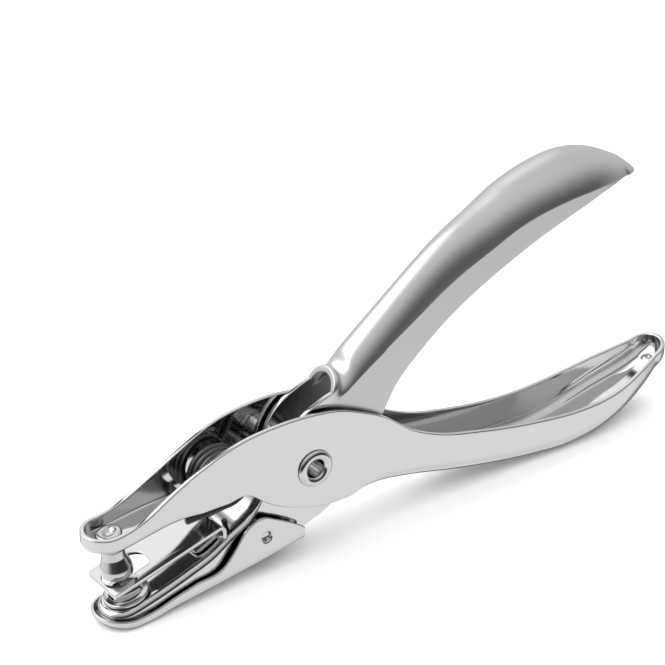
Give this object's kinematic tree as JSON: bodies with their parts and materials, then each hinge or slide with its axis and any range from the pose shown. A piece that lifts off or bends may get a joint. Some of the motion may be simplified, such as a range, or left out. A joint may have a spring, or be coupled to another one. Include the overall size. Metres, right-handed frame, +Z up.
{
  "type": "hole punch",
  "caption": "Hand-held plier hole punch in plated sheet steel: crossed jaws and handles on a pivot rivet, a punch pin over a die, a guide plate, a spring and a drop-down chip catcher.",
  "frame": {"origin": "centre of the bounding box in X and Y, on its lowest plane in Z", "axes": "+X runs from the jaws to the handle tips, +Z up with the punch arm's handle below and the die arm's handle above, +Y across to the far side"},
  "size_m": [0.1288, 0.0144, 0.0593],
  "materials": {
    "plated_sheet": "bright nickel-chrome plating on pressed steel sheet",
    "catcher_sheet": "bright plating on thin pressed steel sheet",
    "ground_steel": "hardened steel, turned and ground, satin bright",
    "spring_wire": "dark oiled spring wire"
  },
  "bodies": {
    "punch_arm_body": {"punch_arm": "plated_sheet", "punch_pin": "ground_steel", "pivot_rivet": "plated_sheet", "torsion_spring": "spring_wire"},
    "die_arm_body": {"die_arm": "plated_sheet", "die_bush": "ground_steel", "guide_plate": "plated_sheet", "guide_plate_rivet": "plated_sheet", "pivot_sleeve": "ground_steel"},
    "tray_body": {"chip_catcher": "catcher_sheet"}
  },
  "joints": [
    {"name": "squeeze", "type": "hinge", "parent": "punch_arm_body", "child": "die_arm_body", "pos_m": [-0.0204, 0, 0.01782], "axis": [0, 1, 0], "range_deg": [0, 8], "stiffness_Nm_per_rad": 0.6, "springref_deg": -20.05, "deforming": ["torsion_spring"]},
    {"name": "tray_swing", "type": "hinge", "parent": "die_arm_body", "child": "tray_body", "pos_m": [-0.0312, 0, 0.00782], "axis": [0, -1, 0], "range_deg": [0, 28]}
  ]
}
